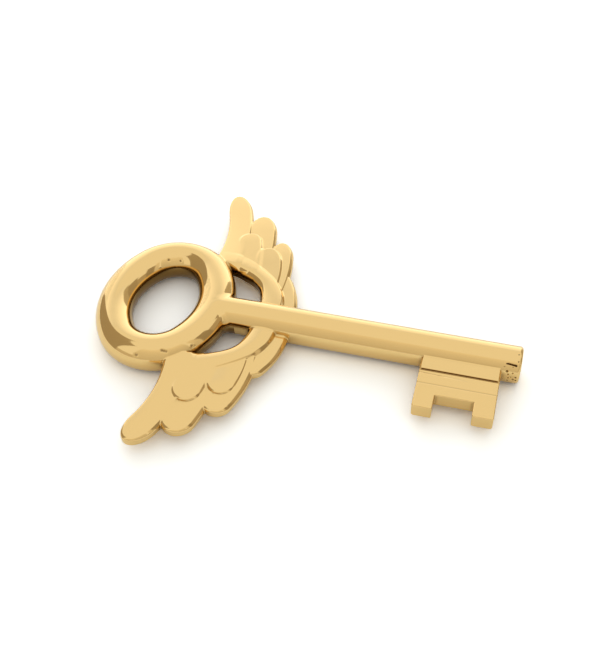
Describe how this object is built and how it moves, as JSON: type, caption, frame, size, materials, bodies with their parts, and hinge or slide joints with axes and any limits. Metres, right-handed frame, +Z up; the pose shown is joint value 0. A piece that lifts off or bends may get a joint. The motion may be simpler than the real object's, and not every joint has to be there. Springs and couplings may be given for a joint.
{
  "type": "decorative key",
  "caption": "Ornamental key that lies flat: oval ring bow, plain round shank, stepped and notched bit, and mirrored feathered wings joined to bow and shank.",
  "frame": {"origin": "under the middle of the key, on the surface that it lies on", "axes": "+X along the shank from the bow to the tip, +Z up, the bit points to -Y"},
  "size_m": [0.2, 0.168, 0.017],
  "materials": {
    "polished_brass": "cast, turned and milled brass, hand polished to a mirror with a few small casting pits",
    "dowel_steel": "ground steel dowel, hidden inside the joints"
  },
  "bodies": {
    "root": {"bow": "polished_brass", "shank": "polished_brass", "bit": "polished_brass", "wing_left": "polished_brass", "wing_right": "polished_brass", "bow_pin": "dowel_steel", "bit_pins": "dowel_steel", "wing_shank_pins": "dowel_steel", "wing_bow_pins": "dowel_steel"}
  },
  "joints": []
}
